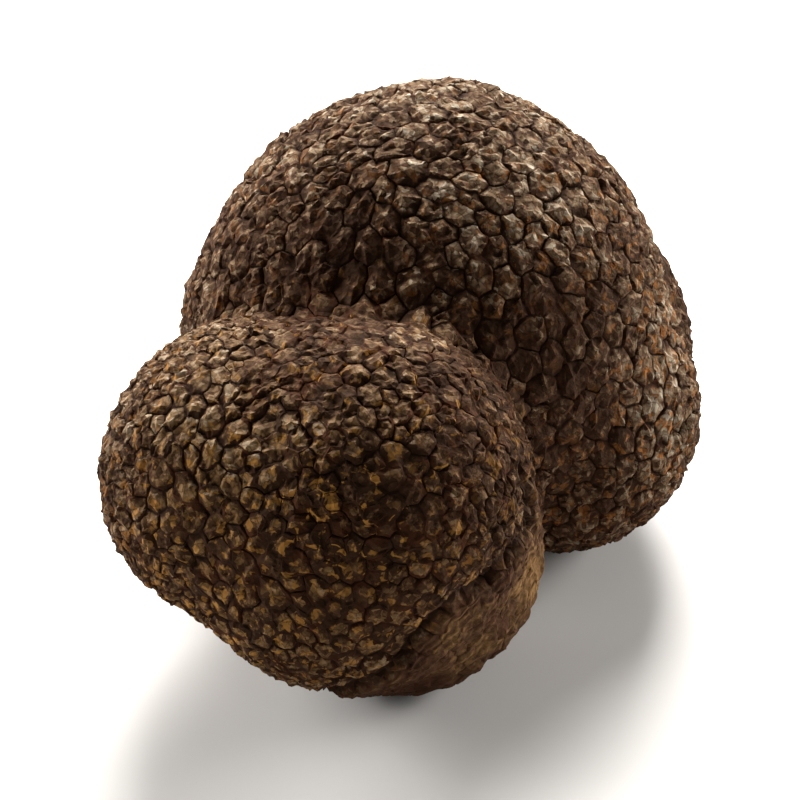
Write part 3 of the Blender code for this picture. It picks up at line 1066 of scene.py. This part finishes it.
# painted sheen: the crown's palest colour is greyed as a painted sheen on its lit tops
CROWN_PALE_AND_SHEEN = (0.425, 0.363, 0.275, 1.0)
FRONT_BROWN = (0.0689, 0.0344, 0.0159, 1.0)
FRONT_TAN = (0.207, 0.114, 0.044, 1.0)
FRONT_PALE = (0.350, 0.242, 0.132, 1.0)
OCHRE = (0.380, 0.182, 0.040, 1.0)
ORANGE = (0.262, 0.099, 0.024, 1.0)
WEAR_STOPS = (0.0, 0.20, 0.46, 0.90)
FACING_UP = (0.45, 1.0)    # the upward share of a spot's direction: not yet, wholly
DUST_MM = 1.2
DUST_SPAN = (0.56, 0.60)   # which part of the mottle is a spot of dust

crown_skin = ramp(wear_and_painted_light, WEAR_STOPS, (DARK, CROWN_BROWN, CROWN_TAN, CROWN_PALE_AND_SHEEN))
front_skin = ramp(wear_and_painted_light, WEAR_STOPS, (DARK, FRONT_BROWN, FRONT_TAN, FRONT_PALE))
# painted light from above: skin that faces up is painted paler and greyer, with the crown's colours on
# the front lobe too
painted_top_light = span(facing, *FACING_UP)
sound_skin = blend(times(front, plus(1.0, (painted_top_light, -0.85))), crown_skin, front_skin)
dust_spots = span(mottle(DUST_MM, 2.0, 0.5, 0.6), *DUST_SPAN)
# fewer dust spots where the skin faces up and is painted lit
dust = times(dust_spots, plus(0.55, (front, 0.30)), plus(1.0, (painted_top_light, -0.9)))
dust = maths("MULTIPLY", dust, plus(0.9, (patch_and_painted_light, 0.7)), clamp=True)
sound_skin = blend(dust, sound_skin, blend(front, ORANGE, OCHRE))
print("nodes so far:", len(tree.nodes))

# %% The roll's skin
ROLL_STOPS = (0.06, 0.22, 0.40, 0.66)

# the pale patches on the roll's right edge are painted light
roll_wear_and_light = plus(0.25, (patch_and_painted_light, 0.28), (large_blotch, 0.80), (blotch, 0.55), (streak, 0.14))
roll_skin = ramp(roll_wear_and_light, ROLL_STOPS, (DARK, RED_BROWN, FRONT_BROWN, FRONT_TAN))
sound_skin = blend(roll_share, sound_skin, roll_skin)
print("nodes so far:", len(tree.nodes))

# %% [markdown]
# ## Grooves and walls
# The grooves are nearly black and the walls are dark brown, with reddish stretches. The sound skin
# on top of a wart doesn't end along a line at an even distance from the groove: it is an island
# with a ragged shore. So how far in a spot lies is made ragged by a mottle, and the skin is sound
# where that is past the shore. On the front lobe the shore lies further in on warts with a high
# chance and on dark patches, and less far in where they face straight up, which paints more pale
# skin there as painted light from above.

# %% Islands of sound skin
DEEP = (0.0280, 0.0134, 0.0070, 1.0)
DARK_RED = (0.050, 0.0182, 0.0076, 1.0)
RED_MM = 3.0               # how large the reddish stretches are
RED_SPAN = (0.45, 0.62)
SHORE_MM = 0.9
SHORE_RAGGED = 1.10        # how far the mottle moves the shore
SHORE_SOFTNESS = 0.10
SOUND_HEIGHT = (0.05, 0.45)            # heights on a wart: no sound skin yet, no bar to it
WALL_HEIGHT = (0.0, 0.4)               # and: as dark as a groove, wholly wall
CRACK_SPAN = (0.0, 0.10)               # how wide the dark cracks between big chips are, in sizes
ROLL_SOUND = 0.72

height = attribute("height")
inward_ragged = plus(attribute("inward"), (balanced(mottle(SHORE_MM, 2.0)), SHORE_RAGGED))
# painted light from above: where the skin faces up the pale sound skin reaches further out
front_shore = plus(0.02, (patch_and_painted_light, -0.30), (chance, 0.30), (painted_top_light, -0.14))
shore = plus(0.02, (front_shore, front))
past_shore = span(inward_ragged, shore, maths("ADD", shore, SHORE_SOFTNESS))
uncracked = plus(0.5, (span(big_chip_gap, *CRACK_SPAN), 0.5))
sound = times(past_shore, span(height, *SOUND_HEIGHT), uncracked)
sound = maths("MAXIMUM", sound, times(roll_share, ROLL_SOUND))
wall = blend(span(mottle(RED_MM, 2.0), *RED_SPAN), DARK, DARK_RED)
colour = blend(sound, blend(span(height, *WALL_HEIGHT), DEEP, wall), sound_skin)
print("nodes so far:", len(tree.nodes))

# %% [markdown]
# ## Earth crust, the fold and the back
# On the dark middle of the front lobe crumbs of ochre earth have caked on what isn't sunk. They
# could be pieces of their own, but they lie flat on the skin, so a colour is enough. The bottom of
# the fold is as dark as the grooves, along a slightly ragged line. The side that the photograph
# doesn't show is a guess: it is toned down, so that it isn't paler than the shaded front.

# %% Crust, fold and back
CRUST_MM = 1.7
CRUST_SPAN = (0.60, 0.64)
CRUST_STRENGTH = 0.85
CRUST_SUNK_MM = (0.12, -0.02)          # sunk by the first there is no crust, by the second all of it
DARK_PATCH = (0.15, 0.60)
FOLD_DARK_MM = (0.10, 0.60)
FOLD_RAGGED_MM = 0.6
BACK_TINT = (0.40, 0.43, 0.46, 1.0)

dark_front = times(front, span(times(patch_and_painted_light, -1.0), *DARK_PATCH))
crumbs = span(mottle(CRUST_MM, 2.0, 0.5, 0.9), *CRUST_SPAN)
# no crust where the skin faces up and is painted lit
crust = times(crumbs, span(low_lying, *CRUST_SUNK_MM), dark_front, CRUST_STRENGTH,
              left_over(painted_top_light))
colour = blend(crust, colour, OCHRE)
from_fold = maths("ABSOLUTE", plus(across, (blotch, FOLD_RAGGED_MM)))
colour = blend(span(from_fold, *FOLD_DARK_MM), DEEP, colour)
colour = blend(attribute("back"), colour, BACK_TINT, "MULTIPLY")
tree.links.new(colour, shader.inputs["Base Color"])
print("skin material:", len(tree.nodes), "nodes")

# %% [markdown]
# ## Relief and gloss
# The fine relief also goes into the bump, weaker on the front lobe and weakest on the roll, where
# the fine wrinkles take its place. The mesh could be moved by it too, but that would take many
# times as many triangles. A dry truffle has hardly any gloss: the skin is rough, it scatters light
# like dust does, and its mirror-like share is almost nothing.

# %% Skin relief and gloss
BUMP_HEIGHT = 0.32 * MM
ROLL_CALM = 0.35
FINISH = {"Roughness": 0.85, "Diffuse Roughness": 0.6, "Specular IOR Level": 0.03}

bumps = plus(times(relief, plus(calm, (roll_share, -ROLL_CALM))), (streak, 0.22))
bump = add("Bump", {}, {"Height": bumps, "Strength": 1.0, "Distance": BUMP_HEIGHT})
tree.links.new(bump.outputs["Normal"], shader.inputs["Normal"])
for name, value in FINISH.items():
    shader.inputs[name].default_value = value
skin_mesh.materials.append(skin_paint)
print("finish:", FINISH)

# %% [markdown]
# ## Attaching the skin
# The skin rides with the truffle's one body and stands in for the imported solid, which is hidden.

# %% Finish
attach(skin, "root")
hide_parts("truffle")
